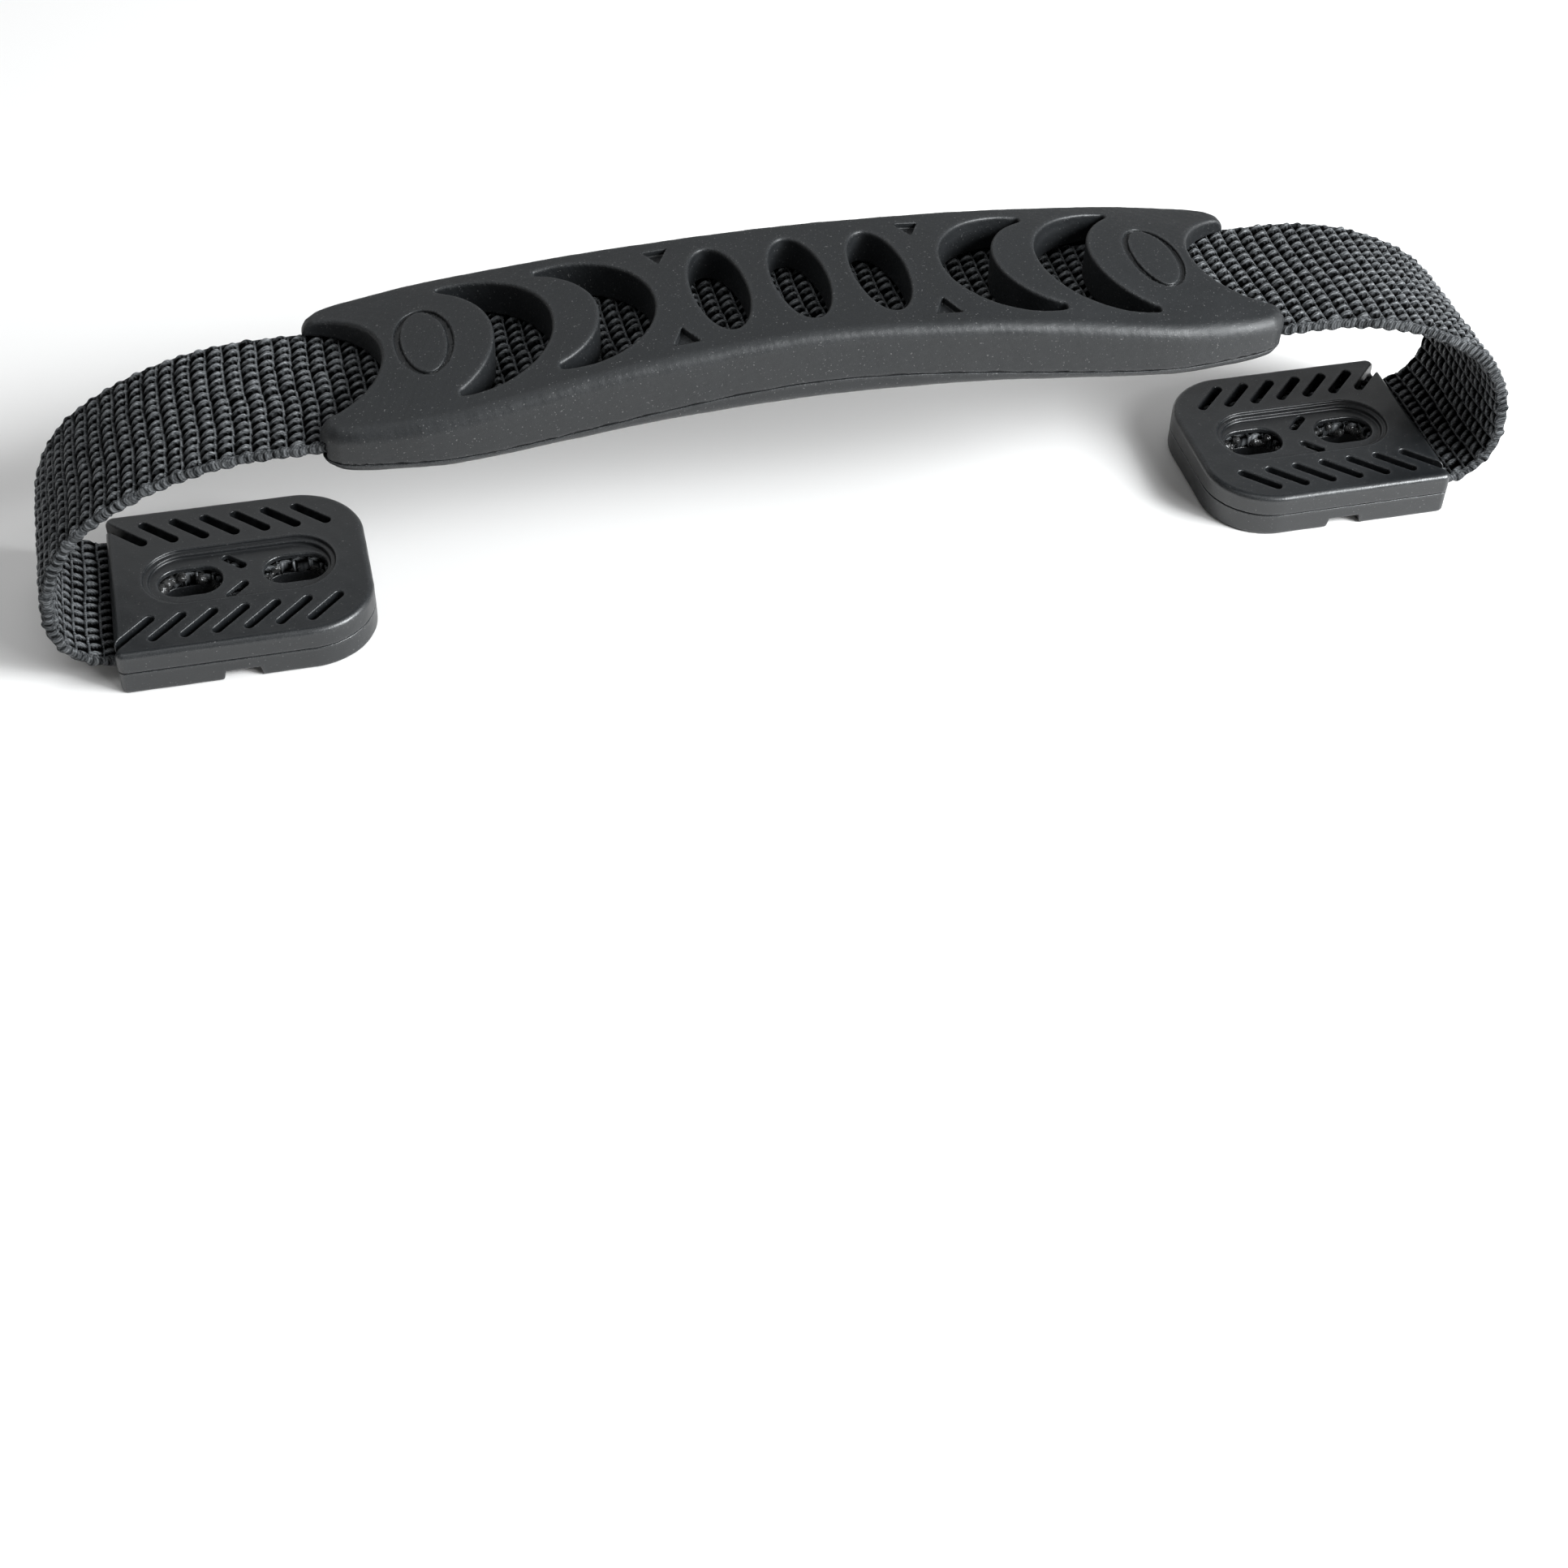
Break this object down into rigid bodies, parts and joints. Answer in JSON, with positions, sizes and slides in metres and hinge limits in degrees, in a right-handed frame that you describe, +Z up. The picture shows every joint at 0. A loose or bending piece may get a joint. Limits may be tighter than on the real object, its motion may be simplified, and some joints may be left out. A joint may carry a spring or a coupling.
{
  "type": "webbing carry handle",
  "caption": "Carry handle: windowed rubber grip on a coarse webbing strap that loops back under the grip into slotted screw-on end plates.",
  "frame": {"origin": "on the surface that the end plates stand on, under the middle of the grip", "axes": "+X along the grip, +Y across it away from the front, +Z up from the plates towards the grip's crest"},
  "size_m": [0.2074, 0.0328, 0.0431],
  "materials": {
    "grip_rubber": "fine-grained satin black",
    "plate_plastic": "smooth satin black",
    "webbing": "coarse black woven webbing"
  },
  "bodies": {
    "grip": {"grip_cover": "grip_rubber", "grip_base": "grip_rubber", "grip_strap": "webbing"},
    "left_loop": {"left_loop_strap": "webbing"},
    "left_plate": {"left_tail_strap": "webbing", "left_plate_cover": "plate_plastic", "left_plate_base": "plate_plastic"},
    "right_loop": {"right_loop_strap": "webbing"},
    "right_plate": {"right_tail_strap": "webbing", "right_plate_cover": "plate_plastic", "right_plate_base": "plate_plastic"}
  },
  "joints": [
    {"name": "left_upper_bend", "type": "hinge", "parent": "grip", "child": "left_loop", "pos_m": [-0.09624, 0, 0.02544], "axis": [0, 1, 0], "range_deg": [-10, 80], "stiffness_Nm_per_rad": 0.12},
    {"name": "left_lower_bend", "type": "hinge", "parent": "left_loop", "child": "left_plate", "pos_m": [-0.10123, 0, 0.00674], "axis": [0, 1, 0], "range_deg": [-12, 90], "stiffness_Nm_per_rad": 0.12},
    {"name": "right_upper_bend", "type": "hinge", "parent": "grip", "child": "right_loop", "pos_m": [0.09624, 0, 0.02544], "axis": [0, -1, 0], "range_deg": [-10, 80], "stiffness_Nm_per_rad": 0.12},
    {"name": "right_lower_bend", "type": "hinge", "parent": "right_loop", "child": "right_plate", "pos_m": [0.10123, 0, 0.00674], "axis": [0, -1, 0], "range_deg": [-12, 90], "stiffness_Nm_per_rad": 0.12}
  ]
}
